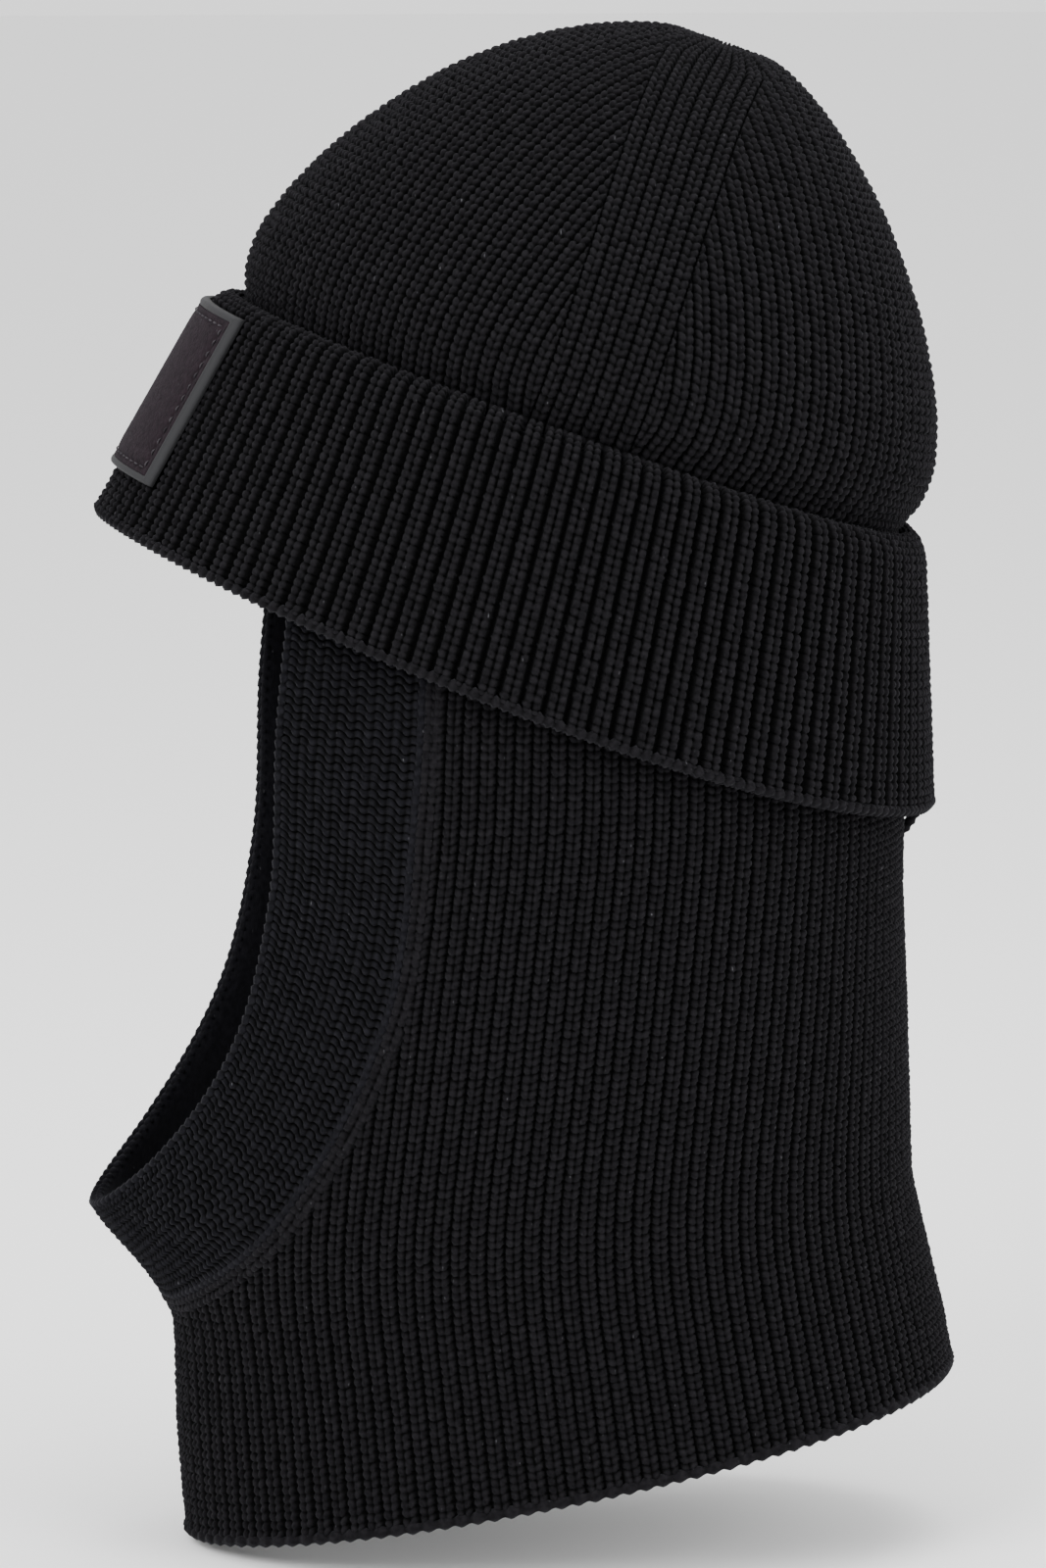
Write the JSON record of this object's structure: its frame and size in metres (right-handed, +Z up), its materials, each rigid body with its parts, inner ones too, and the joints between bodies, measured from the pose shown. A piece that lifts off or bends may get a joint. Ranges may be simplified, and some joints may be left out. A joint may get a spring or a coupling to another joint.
{
  "type": "balaclava",
  "caption": "Ribbed knit balaclava: a beanie crown with a deep double cuff joined to a hood and neck tube, with an open face edged by a knitted band.",
  "frame": {"origin": "middle of the cuff's lower rim on the symmetry plane, at brow height, where the head fits", "axes": "+Z up along the standing wearer, face towards -Y, wearer's left towards +X"},
  "size_m": [0.1822, 0.2344, 0.4093],
  "materials": {
    "rib_yarn": "soft matte black rib knit with a little lint",
    "band_yarn": "slightly smoother multi-strand black yarn",
    "patch_rubber": "smooth dark grey, satin",
    "patch_felt": "matte brushed felt, dark purple-brown",
    "patch_thread": "fine sewing thread"
  },
  "bodies": {
    "root": {"crown_top": "rib_yarn", "crown_shoulder": "rib_yarn", "crown_side": "rib_yarn", "crown_inner_wall": "rib_yarn", "crown_back_seam": "rib_yarn", "crown_gather": "rib_yarn", "cuff_outer": "rib_yarn", "cuff_inner": "rib_yarn", "cuff_back_seam": "rib_yarn", "rim_linking": "rib_yarn", "rear_seam_tail": "rib_yarn", "hood_panel": "rib_yarn", "throat_left": "rib_yarn", "throat_right": "rib_yarn", "neck_tube": "rib_yarn", "neck_front_seam": "rib_yarn", "hem_cast_off": "rib_yarn", "face_band": "band_yarn", "face_band_edge": "band_yarn", "face_band_seam": "band_yarn", "patch_backing": "patch_rubber", "patch_felt": "patch_felt", "patch_stitches": "patch_thread"}
  },
  "joints": []
}
